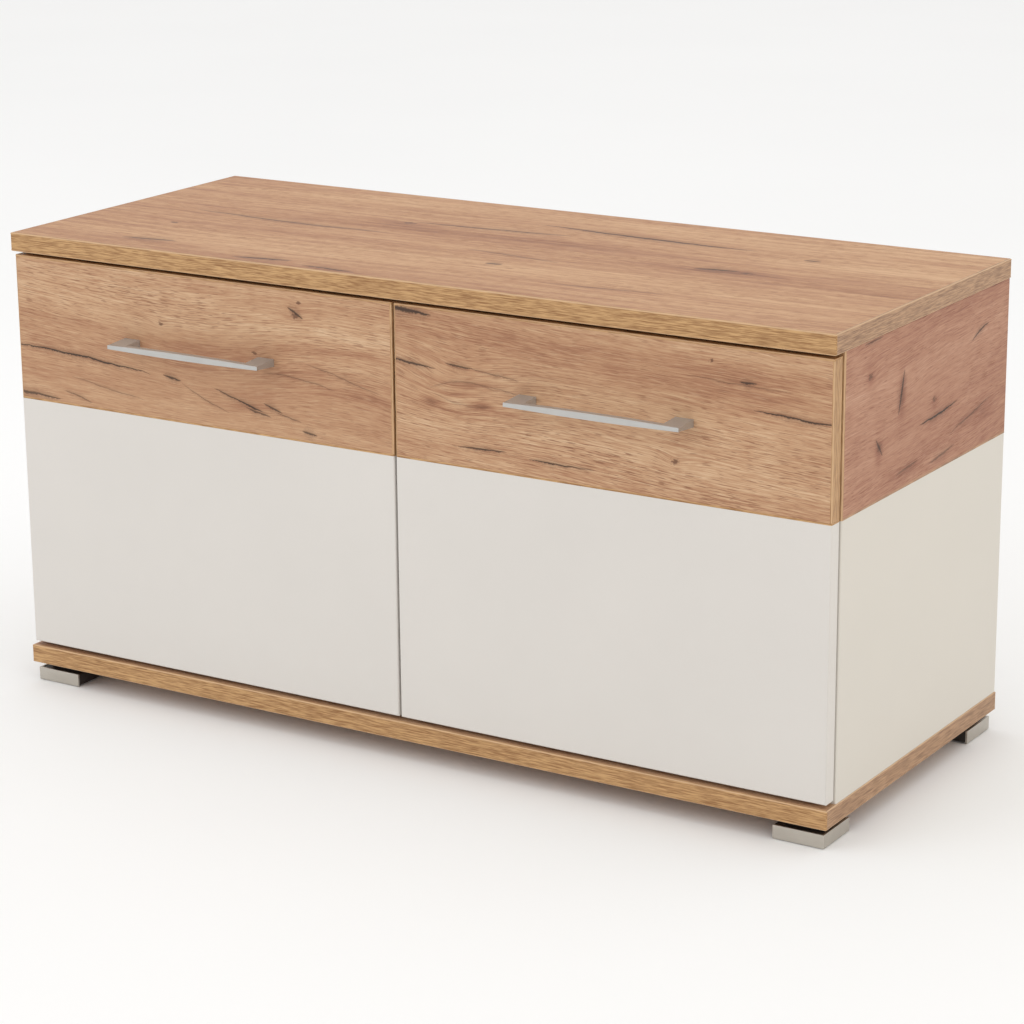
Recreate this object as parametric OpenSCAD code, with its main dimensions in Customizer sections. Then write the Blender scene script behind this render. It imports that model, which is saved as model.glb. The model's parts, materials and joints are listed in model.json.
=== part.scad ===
// Entryway storage bench: a carcass on four corner feet with two deep pull-out drawers.
// X runs along the bench, Y to the back, Z up. The origin is on the floor, under the middle
// of the bench as a whole, pulls included.

/* [Overall] */
// Width over the top and base boards
bench_w = 960; // [900:10:1100]
// Depth of the top and base boards
bench_d = 390; // [380:5:450]
// Height from the floor to the top of the top board
bench_h = 495; // [480:1:540]

/* [Boards] */
// Thickness of the top and base boards, edge bands apart
board_t = 20; // [19:1:25]
// Thickness of the side panels, the centre partition and the fronts
panel_t = 16; // [16:1:19]
// Thickness of the edge bands round the top and base boards
board_band_t = 2; // [0.8:0.1:3]
// Thickness of the edge bands round the oak boards of the fronts and sides
panel_band_t = 2; // [0.8:0.1:2.5]
// How far the side panels stand inside the ends of the boards
side_inset = 1; // [0.5:0.5:4]
// How far the side panels stop short of the back of the boards
back_inset = 1; // [0.5:0.5:4]
// Thickness of the back panel
back_t = 3; // [3:0.5:5]
// Distance from the back of the side panels to the back panel
back_recess = 8; // [6:1:14]
// Depth of the grooves that hold the back panel
groove_depth = 8; // [5:1:9]

/* [Fronts] */
// How far the fronts stand behind the front edge of the boards
front_inset = 3; // [1:0.5:6]
// Gap between the two fronts
front_gap = 2.4; // [2:0.2:4]
// Gap between each front's outer end and the end of the boards
front_end_inset = 2.4; // [1:0.2:5]
// Gap over the fronts
top_gap = 3.6; // [3:0.1:8]
// Gap under the fronts
bottom_gap = 4; // [3:0.5:6]
// Height of the oak board of each front, edge bands included
oak_h = 155; // [120:0.5:180]
// Gap between the back of the fronts and the carcass
bumper_gap = 2; // [1.5:0.1:3]

/* [Pulls] */
// Overall length of a pull
pull_l = 190; // [185:1:260]
// Spacing of the pull's screws
pull_holes = 160; // [150:2:160]
// How far the pull stands off its front
pull_reach = 29; // [25:1:40]
// Depth of the bar, front to back
bar_d = 7; // [5:0.5:10]
// Height of the bar at its ends
bar_end_h = 4; // [3.5:0.1:6]
// Height of the bar in its middle
bar_mid_h = 6.4; // [4:0.1:10]
// Width of each end foot of the pull
pull_foot_w = 19.5; // [18:0.5:24]
// Height of each end foot where it meets the front
pull_foot_h = 7.8; // [7.4:0.1:10]

/* [Feet] */
// Height of the feet, which is the gap under the base board
foot_h = 20.5; // [18:0.5:30]
// Side length of the square foot
foot_w = 54; // [50:1:70]
// Height of the nickel angle round the foot
foot_plate_h = 14.2; // [10:0.1:16]
// Thickness of the nickel angle
foot_plate_t = 2.5; // [1.5:0.1:3]
// How far the feet stand inside the edges of the base board
foot_inset = 4.5; // [3:0.5:15]
// Thickness of the glide pads
pad_t = 1.5; // [1:0.1:3]

/* [Drawer boxes] */
// Thickness of the drawer boards
box_t = 12; // [12:0.5:15]
// Height of the drawer sides
box_h = 230; // [150:5:240]
// Height of the inner front, which also ties the two front boards together
inner_front_h = 320; // [310:5:340]
// Thickness of the drawer bottom
bottom_t = 3; // [3:0.5:5]
// Length of the runners
rail_l = 350; // [340:1:350]
// Thickness of the runner's sheet metal
rail_t = 1.2; // [1:0.1:1.4]

/* [Hidden] */
$fn = 32;
eps = 0.01;

// Colours
oak = "#c8a080";
oak_edge = "#c39a68";
white = "#ddd9d2";
nickel = "#b9b4a8";
black = "#37302a";
zinc = "#a9abad";
beech = "#dcc39c";
grey = "#8c8c8c";

// Levels
base_top = foot_h + board_t;
top_under = bench_h - board_t;
front_low = base_top + bottom_gap;
front_high = top_under - top_gap;
seam_z = front_high - oak_h;

// Depths, from front to back; board_y is the middle of the boards
board_y = (pull_reach - front_inset) / 2;
front_y = board_y - bench_d / 2 + front_inset;
front_back = front_y + panel_t;
carcass_front = front_back + bumper_gap;
carcass_back = board_y + bench_d / 2 - back_inset;
back_y = carcass_back - back_recess - back_t;

// Widths, from the middle outwards
side_out = bench_w / 2 - side_inset;
side_in = side_out - panel_t;
panel_x = side_out - panel_t / 2;
front_w = bench_w / 2 - front_end_inset - front_gap / 2;
front_x = front_gap / 2 + front_w / 2;
bay_w = side_in - panel_t / 2;
bay_x = panel_t / 2 + bay_w / 2;

// Carcass joints: wooden dowels, and bolts drawn tight by cams
fit_gap = 0.1;
groove_gap = 0.3;
band_joint = 0.05;
dowel_r = 4;
dowel_l = 30;
dowel_ys = [-130, 140];
seam_dowel_ys = [-140, 10, 150];
bolt_ys = [-95, 105];
stud_r = 2.5;
stud_l = 11;
shank_r = 3.2;
shank_l = 27;
neck_r = 2;
head_r = 3.4;
head_l = 4;
cam_x = 34;
cam_r = 7.4;
cam_l = 12.2;
cam_slot = 7.4;
PANELS = [-1, 0, 1];
BASE = 0;
TOP = 1;

// Feet
foot_x = bench_w / 2 - foot_inset;
foot_y = bench_d / 2 - foot_inset;
angle_lift = 0.4;
boss_w = 36;
foot_core_w = foot_w - foot_plate_t;
foot_screw_pitch = 18;
foot_screw_r = 2.25;
foot_screw_head_r = 4.5;
foot_screw_head_l = 3;
foot_screw_seat = 6;
foot_screw_grip = 12;
pad_margin = 4;

// Drawer boxes and runners
runner_w = 12.7;
box_w = bay_w - 2 * runner_w;
box_low = base_top + 15.5;
box_len = 348;
bottom_rise = 10;
bottom_groove = 4;
rail_y = carcass_front + 2;
rail_z = 150;
cabinet_rail_h = 45;
middle_rail_h = 33.4;
drawer_rail_h = 21.8;
cabinet_rail_reach = 9.7;
cabinet_lip = 2.6;
middle_rail_near = 2.6;
middle_rail_far = 11;
drawer_rail_near = 4.8;
rail_hole_r = 2.25;
rail_access_r = 6;
rail_holes = [35, 163, 291];
rail_hole_shift = 32;
rail_screw_r = 1.75;
rail_screw_l = 12;
rail_screw_head_r = 4;
rail_screw_head_l = 0.8;

// Fasteners of the drawers
pull_z = (seam_z + front_high) / 2;
pull_screw_r = 2;
pull_screw_grip = 5;
front_screw_r = 2;
front_screw_grip = 11;
drawer_head_r = 4;
drawer_head_l = 2.4;
front_screw_x = 150;
front_screw_zs = [box_low + 45, box_low + 195, seam_z + 30];
bumper_r = 4;
bumper_t = bumper_gap - 0.2;
bumper_zs = [front_low + 40, front_high - 30];

// ---------- placing helpers ----------

// A box from its low corner to its high corner
module span(low, high) {
    translate(low) cube(high - low);
}

// A rod along Y
module rod_y(r, len) {
    rotate([-90, 0, 0]) cylinder(r = r, h = len);
}

// A rod along X
module rod_x(r, len) {
    rotate([0, 90, 0]) cylinder(r = r, h = len);
}

// One carcass joint: the origin is on the joint plane in the middle of the upright
// panel's thickness, +Z goes into that panel and -X towards the side with the cam
module at_joint(panel, end, y) {
    translate([panel * panel_x, board_y + y, end == TOP ? top_under : base_top])
        mirror([panel < 0 ? 1 : 0, 0, 0])
            mirror([0, 0, end])
                children();
}

// One corner foot: the origin is the foot's outer corner on the floor, and the
// foot reaches towards -X and -Y
module at_foot(sx, sy) {
    translate([sx * foot_x, board_y + sy * foot_y, 0])
        mirror([sx < 0 ? 1 : 0, 0, 0])
            mirror([0, sy < 0 ? 1 : 0, 0])
                children();
}

// One runner: the origin is on the carcass wall at the runner's front end, and +X
// goes towards the drawer. side is -1 for the left drawer, outer is 1 at the side panel
function rail_dir(side, outer) = outer == 1 ? -side : side;

module at_rail(side, outer) {
    wall = outer == 1 ? side_in : panel_t / 2;
    translate([side * wall, rail_y, rail_z])
        mirror([rail_dir(side, outer) < 0 ? 1 : 0, 0, 0])
            children();
}

// ---------- carcass joints ----------

module dowel(r, len) {
    translate([0, 0, -len / 2]) cylinder(r = r, h = len);
}

module cam_bolt() {
    translate([0, 0, -stud_l]) cylinder(r = stud_r, h = stud_l);
    cylinder(r = shank_r, h = shank_l);
    translate([0, 0, shank_l - eps]) cylinder(r = neck_r, h = cam_x - shank_l);
    translate([0, 0, cam_x - head_l / 2]) cylinder(r = head_r, h = head_l);
}

module cam_lock() {
    difference() {
        translate([-panel_t / 2, 0, cam_x]) rod_x(cam_r, cam_l);
        span([-cam_slot / 2, -cam_slot / 2, cam_x - cam_r - 1],
             [cam_slot / 2, cam_slot / 2, cam_x + cam_slot / 2]);
        for (turn = [0, 90])
            translate([-panel_t / 2, 0, cam_x])
                rotate([turn, 0, 0])
                    span([-1, -4, -0.7], [2, 4, 0.7]);
    }
}

// The holes for one end of one upright panel, in that panel and in its board
module joint_bores(panel, end) {
    for (y = dowel_ys)
        at_joint(panel, end, y) dowel(dowel_r + fit_gap, dowel_l + 2 * fit_gap);
    for (y = bolt_ys)
        at_joint(panel, end, y) {
            translate([0, 0, -stud_l - fit_gap])
                cylinder(r = stud_r + fit_gap, h = stud_l + 2 * fit_gap);
            cylinder(r = head_r + fit_gap, h = cam_x);
            translate([-panel_t / 2 - 1, 0, cam_x]) rod_x(cam_r + fit_gap, cam_l + 1 + fit_gap);
        }
}

module seam_bores(side) {
    for (y = seam_dowel_ys)
        translate([side * panel_x, board_y + y, seam_z])
            dowel(dowel_r + fit_gap, dowel_l + 2 * fit_gap);
}

// ---------- top board and base board ----------

module back_groove(low, high) {
    reach = side_in + groove_depth;
    span([-reach, back_y - groove_gap, low], [reach, back_y + back_t + groove_gap, high]);
}

module board_core(z) {
    half_w = bench_w / 2 - board_band_t;
    half_d = bench_d / 2 - board_band_t;
    translate([0, board_y, 0]) span([-half_w, -half_d, z], [half_w, half_d, z + board_t]);
}

// Four strips: front and back run the whole width, the end strips lie between them
module board_bands(z) {
    half_w = bench_w / 2;
    half_d = bench_d / 2;
    end_d = half_d - board_band_t - band_joint;
    translate([0, board_y, 0])
        for (s = [0, 1]) {
            mirror([0, s, 0])
                span([-half_w, half_d - board_band_t, z], [half_w, half_d, z + board_t]);
            mirror([s, 0, 0])
                span([half_w - board_band_t, -end_d, z], [half_w, end_d, z + board_t]);
        }
}

module top_board() {
    color(oak) difference() {
        board_core(top_under);
        for (panel = PANELS) joint_bores(panel, TOP);
        back_groove(top_under - 1, top_under + groove_depth);
    }
}

module top_edge_bands() {
    color(oak_edge) board_bands(top_under);
}

module base_board() {
    color(oak) difference() {
        board_core(foot_h);
        for (panel = PANELS) joint_bores(panel, BASE);
        back_groove(base_top - groove_depth, base_top + 1);
        each_foot() foot_screw_holes();
    }
}

module base_edge_bands() {
    color(oak_edge) board_bands(foot_h);
}

// ---------- side panels, partition and back ----------

module side_groove() {
    span([side_in - 1, back_y - groove_gap, base_top - 1],
         [side_in + groove_depth, back_y + back_t + groove_gap, top_under + 1]);
}

module side_upper(side) {
    color(oak) difference() {
        mirror([side < 0 ? 1 : 0, 0, 0])
            difference() {
                span([side_in, carcass_front + panel_band_t, seam_z + panel_band_t],
                     [side_out, carcass_back, top_under]);
                side_groove();
            }
        joint_bores(side, TOP);
        seam_bores(side);
    }
}

module side_lower(side) {
    color(white) difference() {
        mirror([side < 0 ? 1 : 0, 0, 0])
            difference() {
                span([side_in, carcass_front, base_top], [side_out, carcass_back, seam_z]);
                side_groove();
            }
        joint_bores(side, BASE);
        seam_bores(side);
        at_rail(side, 1) rail_screw_bores(rail_dir(side, 1));
    }
}

// A strip on the front edge and one on the lower edge of each oak side board
module side_edge_bands() {
    color(oak_edge)
        for (side = [-1, 1])
            difference() {
                mirror([side < 0 ? 1 : 0, 0, 0]) {
                    span([side_in, carcass_front, seam_z],
                         [side_out, carcass_front + panel_band_t, top_under]);
                    difference() {
                        span([side_in, carcass_front + panel_band_t + band_joint, seam_z],
                             [side_out, carcass_back, seam_z + panel_band_t]);
                        side_groove();
                    }
                }
                seam_bores(side);
            }
}

module centre_partition() {
    color(white) difference() {
        span([-panel_t / 2, carcass_front, base_top], [panel_t / 2, back_y - 0.5, top_under]);
        for (end = [BASE, TOP]) joint_bores(0, end);
        for (side = [-1, 1])
            at_rail(side, 0) rail_screw_bores(rail_dir(side, 0));
    }
}

module back_panel() {
    reach = side_in + groove_depth - groove_gap;
    color(white)
        span([-reach, back_y, base_top - groove_depth + groove_gap],
             [reach, back_y + back_t, top_under + groove_depth - groove_gap]);
}

module wooden_dowels() {
    color(beech) {
        for (panel = PANELS, end = [BASE, TOP], y = dowel_ys)
            at_joint(panel, end, y) dowel(dowel_r, dowel_l);
        for (side = [-1, 1], y = seam_dowel_ys)
            translate([side * panel_x, board_y + y, seam_z]) dowel(dowel_r, dowel_l);
    }
}

module cam_bolts() {
    color(zinc)
        for (panel = PANELS, end = [BASE, TOP], y = bolt_ys)
            at_joint(panel, end, y) cam_bolt();
}

module cam_locks() {
    color(zinc)
        for (panel = PANELS, end = [BASE, TOP], y = bolt_ys)
            at_joint(panel, end, y) cam_lock();
}

// Discs on the front edges of the uprights, which the closed fronts rest against
module front_bumpers() {
    color(grey)
        for (panel = PANELS, z = bumper_zs)
            translate([panel * panel_x, carcass_front - bumper_t, z]) rod_y(bumper_r, bumper_t);
}

// ---------- feet ----------

module each_foot() {
    for (sx = [-1, 1], sy = [-1, 1])
        at_foot(sx, sy) children();
}

module each_foot_screw() {
    for (turn = [-1, 1])
        translate([-foot_w + foot_core_w / 2 + turn * foot_screw_pitch / 2,
                   -foot_w + foot_core_w / 2 + turn * foot_screw_pitch / 2, 0])
            children();
}

module foot_angle(sx, sy) {
    color(nickel) at_foot(sx, sy)
        difference() {
            span([-foot_w, -foot_w, angle_lift], [0, 0, foot_plate_h]);
            span([-foot_w - 1, -foot_w - 1, 0],
                 [-foot_plate_t, -foot_plate_t, foot_plate_h + 1]);
        }
}

module foot_block(sx, sy) {
    boss_low = -foot_w + (foot_core_w - boss_w) / 2;
    color(black) at_foot(sx, sy)
        difference() {
            union() {
                span([-foot_w, -foot_w, pad_t],
                     [-foot_plate_t, -foot_plate_t, foot_plate_h - 0.6]);
                translate([boss_low, boss_low, foot_plate_h - 1])
                    cube([boss_w, boss_w, foot_h - foot_plate_h + 1]);
            }
            foot_screw_holes();
        }
}

// Holes for the screws, with a seat for the heads in the block
module foot_screw_holes() {
    each_foot_screw() {
        cylinder(r = foot_screw_r + fit_gap, h = foot_h + foot_screw_grip + fit_gap);
        cylinder(r = foot_screw_head_r + 2 * fit_gap, h = pad_t + foot_screw_seat);
    }
}

module foot_screws() {
    seat = pad_t + foot_screw_seat;
    color(zinc) each_foot() each_foot_screw() {
        translate([0, 0, seat - foot_screw_head_l])
            cylinder(r = foot_screw_head_r, h = foot_screw_head_l);
        translate([0, 0, seat - eps])
            cylinder(r = foot_screw_r, h = foot_h + foot_screw_grip - seat);
    }
}

module foot_glide_pads() {
    color(grey) each_foot()
        span([-foot_w + pad_margin, -foot_w + pad_margin, 0],
             [-foot_plate_t - pad_margin, -foot_plate_t - pad_margin, pad_t]);
}

// ---------- runners ----------

// A channel along Y with its web at near and its flanges reaching to far
module channel(near, far, h) {
    web_x = near < far ? near : near - rail_t;
    translate([web_x, 0, -h / 2]) cube([rail_t, rail_l, h]);
    for (z = [-h / 2, h / 2 - rail_t])
        translate([min(near, far), 0, z]) cube([abs(far - near), rail_l, rail_t]);
}

module cabinet_rail(side, outer) {
    color(zinc) at_rail(side, outer)
        difference() {
            union() {
                channel(0, cabinet_rail_reach, cabinet_rail_h);
                for (s = [0, 1])
                    mirror([0, 0, s])
                        translate([cabinet_rail_reach - rail_t, 0,
                                   cabinet_rail_h / 2 - cabinet_lip - rail_t])
                            cube([rail_t, rail_l, cabinet_lip + rail_t]);
            }
            for (y = rail_holes, shift = [0, rail_hole_shift])
                translate([-1, y + shift, 0]) rod_x(rail_hole_r, rail_t + 2);
        }
}

module middle_rail(side, outer) {
    color(zinc) at_rail(side, outer)
        difference() {
            channel(middle_rail_near, middle_rail_far, middle_rail_h);
            for (y = rail_holes, shift = [0, rail_hole_shift])
                translate([middle_rail_near - 1, y + shift, 0]) rod_x(rail_access_r, rail_t + 2);
        }
}

module drawer_rail(side, outer) {
    color(zinc) at_rail(side, outer)
        difference() {
            channel(runner_w, drawer_rail_near, drawer_rail_h);
            for (y = rail_holes)
                translate([runner_w - rail_t - 1, y, 0]) rod_x(rail_hole_r, rail_t + 2);
        }
}

// The two runners that share the partition have their screws staggered
function rail_screw_ys(dir) = [for (y = rail_holes) dir > 0 ? y : y + rail_hole_shift];

module rail_screw_bores(dir) {
    for (y = rail_screw_ys(dir))
        translate([-rail_screw_l - fit_gap, y, 0])
            rod_x(rail_screw_r + fit_gap, rail_screw_l + 1);
}

module rail_screws() {
    color(zinc)
        for (side = [-1, 1], outer = [0, 1], y = rail_screw_ys(rail_dir(side, outer)))
            at_rail(side, outer) {
                translate([-rail_screw_l, y, 0]) rod_x(rail_screw_r, rail_screw_l + rail_t + eps);
                translate([rail_t, y, 0]) rod_x(rail_screw_head_r, rail_screw_head_l);
            }
}

// ---------- drawers ----------

module front_upper(side) {
    half = front_w / 2 - panel_band_t;
    color(oak) translate([side * front_x, 0, 0])
        difference() {
            span([-half, front_y, seam_z + panel_band_t],
                 [half, front_back, front_high - panel_band_t]);
            pull_bores();
            translate([side * (bay_x - front_x), 0, 0]) front_screw_bores();
        }
}

module front_lower(side) {
    half = front_w / 2;
    color(white) translate([side * front_x, 0, 0])
        difference() {
            span([-half, front_y, front_low], [half, front_back, seam_z]);
            translate([side * (bay_x - front_x), 0, 0]) front_screw_bores();
        }
}

// Strips round the oak board: top and bottom run the whole width
module front_bands(side) {
    half = front_w / 2;
    color(oak_edge) translate([side * front_x, 0, 0]) {
        for (z = [seam_z, front_high - panel_band_t])
            span([-half, front_y, z], [half, front_back, z + panel_band_t]);
        for (s = [0, 1])
            mirror([s, 0, 0])
                span([half - panel_band_t, front_y, seam_z + panel_band_t + band_joint],
                     [half, front_back, front_high - panel_band_t - band_joint]);
    }
}

// Half the bar's height at a distance x from its middle: a shallow arc
function bar_half_h(x) =
    (bar_end_h + (bar_mid_h - bar_end_h) * (1 - pow(2 * x / pull_l, 2))) / 2;

module pull_bar() {
    xs = [for (i = [-12:12]) i * pull_l / 24];
    outline = concat([for (x = xs) [x, bar_half_h(x)]],
                     [for (x = xs) [-x, -bar_half_h(x)]]);
    translate([0, front_y - pull_reach + bar_d, pull_z])
        rotate([90, 0, 0])
            linear_extrude(bar_d) polygon(outline);
}

// An end foot, tapering from the front to the bar
module pull_foot() {
    back = pull_foot_h / 2;
    tip = bar_end_h / 2;
    reach = pull_reach - bar_d / 2;
    translate([pull_l / 2 - pull_foot_w, front_y, pull_z])
        rotate([90, 0, 90])
            linear_extrude(pull_foot_w)
                polygon([[0, -back], [0, back], [-reach, tip], [-reach, -tip]]);
}

module pull(side) {
    color(nickel) translate([side * front_x, 0, 0])
        difference() {
            union() {
                pull_bar();
                for (s = [0, 1]) mirror([s, 0, 0]) pull_foot();
            }
            pull_bores();
        }
}

module each_pull_screw() {
    for (s = [-1, 1])
        translate([s * pull_holes / 2, 0, pull_z]) children();
}

module pull_bores() {
    each_pull_screw()
        translate([0, front_y - pull_screw_grip - fit_gap, 0])
            rod_y(pull_screw_r + fit_gap, pull_screw_grip + panel_t + 1);
}

module pull_screws(side) {
    color(zinc) translate([side * front_x, 0, 0])
        each_pull_screw() {
            translate([0, front_y - pull_screw_grip, 0])
                rod_y(pull_screw_r, pull_screw_grip + panel_t + eps);
            translate([0, front_back, 0]) rod_y(drawer_head_r, drawer_head_l);
        }
}

module each_front_screw() {
    for (x = [-front_screw_x, front_screw_x], z = front_screw_zs)
        translate([x, 0, z]) children();
}

module front_screw_bores() {
    each_front_screw()
        translate([0, front_back - front_screw_grip - fit_gap, 0])
            rod_y(front_screw_r + fit_gap, front_screw_grip + box_t + 1);
}

module front_screws(side) {
    color(zinc) translate([side * bay_x, 0, 0])
        each_front_screw() {
            translate([0, front_back - front_screw_grip, 0])
                rod_y(front_screw_r, front_screw_grip + box_t + eps);
            translate([0, front_back + box_t, 0]) rod_y(drawer_head_r, drawer_head_l);
        }
}

// The groove round the inside of the box that holds its bottom
module bottom_slot() {
    half = box_w / 2 - box_t + bottom_groove;
    span([-half, front_back + box_t - bottom_groove, box_low + bottom_rise],
         [half, front_back + box_len - box_t + bottom_groove, box_low + bottom_rise + bottom_t]);
}

module box_side(side, outer) {
    dir = outer == 1 ? side : -side;
    color(white) translate([side * bay_x, 0, 0])
        difference() {
            mirror([dir < 0 ? 1 : 0, 0, 0])
                span([box_w / 2 - box_t, front_back, box_low],
                     [box_w / 2, front_back + box_len, box_low + box_h]);
            bottom_slot();
        }
}

module box_front(side) {
    half = box_w / 2 - box_t;
    color(white) translate([side * bay_x, 0, 0])
        difference() {
            span([-half, front_back, box_low], [half, front_back + box_t, box_low + inner_front_h]);
            bottom_slot();
            front_screw_bores();
        }
}

module box_back(side) {
    half = box_w / 2 - box_t;
    back = front_back + box_len;
    color(white) translate([side * bay_x, 0, 0])
        difference() {
            span([-half, back - box_t, box_low], [half, back, box_low + box_h]);
            bottom_slot();
        }
}

module box_bottom(side) {
    color(white) translate([side * bay_x, 0, 0]) bottom_slot();
}

// ---------- the whole bench ----------

top_board();
top_edge_bands();
base_board();
base_edge_bands();
side_upper(-1);  // left_side_upper
side_lower(-1);  // left_side_lower
side_upper(1);  // right_side_upper
side_lower(1);  // right_side_lower
side_edge_bands();
centre_partition();
back_panel();
wooden_dowels();
cam_bolts();
cam_locks();
front_bumpers();

foot_angle(-1, -1);  // front_left_foot_angle
foot_angle(1, -1);  // front_right_foot_angle
foot_angle(-1, 1);  // rear_left_foot_angle
foot_angle(1, 1);  // rear_right_foot_angle
foot_block(-1, -1);  // front_left_foot_block
foot_block(1, -1);  // front_right_foot_block
foot_block(-1, 1);  // rear_left_foot_block
foot_block(1, 1);  // rear_right_foot_block
foot_screws();
foot_glide_pads();

cabinet_rail(-1, 1);  // left_outer_cabinet_rail
cabinet_rail(-1, 0);  // left_inner_cabinet_rail
cabinet_rail(1, 0);  // right_inner_cabinet_rail
cabinet_rail(1, 1);  // right_outer_cabinet_rail
rail_screws();
middle_rail(-1, 1);  // left_outer_middle_rail
middle_rail(-1, 0);  // left_inner_middle_rail
middle_rail(1, 0);  // right_inner_middle_rail
middle_rail(1, 1);  // right_outer_middle_rail

front_upper(-1);  // left_front_upper
front_lower(-1);  // left_front_lower
front_bands(-1);  // left_front_bands
pull(-1);  // left_pull
pull_screws(-1);  // left_pull_screws
front_screws(-1);  // left_front_screws
box_side(-1, 1);  // left_box_outer_side
box_side(-1, 0);  // left_box_inner_side
box_front(-1);  // left_box_front
box_back(-1);  // left_box_back
box_bottom(-1);  // left_box_bottom
drawer_rail(-1, 1);  // left_outer_drawer_rail
drawer_rail(-1, 0);  // left_inner_drawer_rail

front_upper(1);  // right_front_upper
front_lower(1);  // right_front_lower
front_bands(1);  // right_front_bands
pull(1);  // right_pull
pull_screws(1);  // right_pull_screws
front_screws(1);  // right_front_screws
box_side(1, 1);  // right_box_outer_side
box_side(1, 0);  // right_box_inner_side
box_front(1);  // right_box_front
box_back(1);  // right_box_back
box_bottom(1);  // right_box_bottom
drawer_rail(1, 1);  // right_outer_drawer_rail
drawer_rail(1, 0);  // right_inner_drawer_rail
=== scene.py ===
"""Looks for the entryway bench: oak decor and white boards, nickel pulls and feet, a plain pale studio."""

import json
import math

import bmesh
import bpy
from mathutils import Euler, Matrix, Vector


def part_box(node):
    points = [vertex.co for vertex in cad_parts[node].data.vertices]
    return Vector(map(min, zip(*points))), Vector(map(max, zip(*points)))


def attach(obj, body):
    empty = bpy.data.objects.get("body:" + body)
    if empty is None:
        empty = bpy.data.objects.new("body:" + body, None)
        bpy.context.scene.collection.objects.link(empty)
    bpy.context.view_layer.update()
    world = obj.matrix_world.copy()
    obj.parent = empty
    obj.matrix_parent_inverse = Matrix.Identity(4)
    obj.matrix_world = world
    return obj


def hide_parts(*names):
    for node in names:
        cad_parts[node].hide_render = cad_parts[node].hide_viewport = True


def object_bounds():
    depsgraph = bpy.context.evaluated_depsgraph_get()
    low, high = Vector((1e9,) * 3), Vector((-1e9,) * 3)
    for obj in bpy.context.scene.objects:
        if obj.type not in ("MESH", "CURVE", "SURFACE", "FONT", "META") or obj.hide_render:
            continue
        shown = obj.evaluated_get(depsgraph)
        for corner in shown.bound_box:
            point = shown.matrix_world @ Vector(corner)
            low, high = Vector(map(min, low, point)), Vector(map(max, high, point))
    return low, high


MM = 0.001

# Camera: where it stands round the bench's centre, where it looks, its roll and its lens. The angles,
# distance, roll and lens come from a camera fit to the photo.
VIEW_FROM_AZIMUTH = 32.5
VIEW_FROM_ELEVATION = 15.62
VIEW_DISTANCE = 3.228
LOOK_AZIMUTH = 32.14
LOOK_DOWN = 16.18
ROLL = -0.5
LENS_MM = 109.35
SENSOR_MM = 36.0
CLIP_START = 0.05
CLIP_END = 100.0

# The studio's light, against one that shows colours as they are
LIGHT_LEVEL = 1.08

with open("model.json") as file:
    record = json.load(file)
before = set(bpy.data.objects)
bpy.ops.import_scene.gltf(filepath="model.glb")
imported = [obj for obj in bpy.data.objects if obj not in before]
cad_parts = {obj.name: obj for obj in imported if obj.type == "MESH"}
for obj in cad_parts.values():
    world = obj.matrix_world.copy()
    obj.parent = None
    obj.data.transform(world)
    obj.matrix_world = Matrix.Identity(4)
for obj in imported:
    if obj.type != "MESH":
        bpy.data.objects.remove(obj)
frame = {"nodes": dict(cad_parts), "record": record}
CAD_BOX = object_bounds()


# ---------- colours ----------

def linear(red, green, blue):
    """The linear colour that looks like an sRGB colour, 0 to 255, under the studio's light."""
    out = []
    for value in (red, green, blue):
        c = value / 255
        flat = c / 12.92 if c <= 0.04045 else ((c + 0.055) / 1.055) ** 2.4
        out.append(flat / LIGHT_LEVEL)
    return (*out, 1.0)


def shaded(colour, factor, lift=0.0):
    """A linear colour made darker or lighter."""
    return (*[min(1.0, c * factor + lift) for c in colour[:3]], 1.0)


# ---------- shader helper ----------

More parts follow.
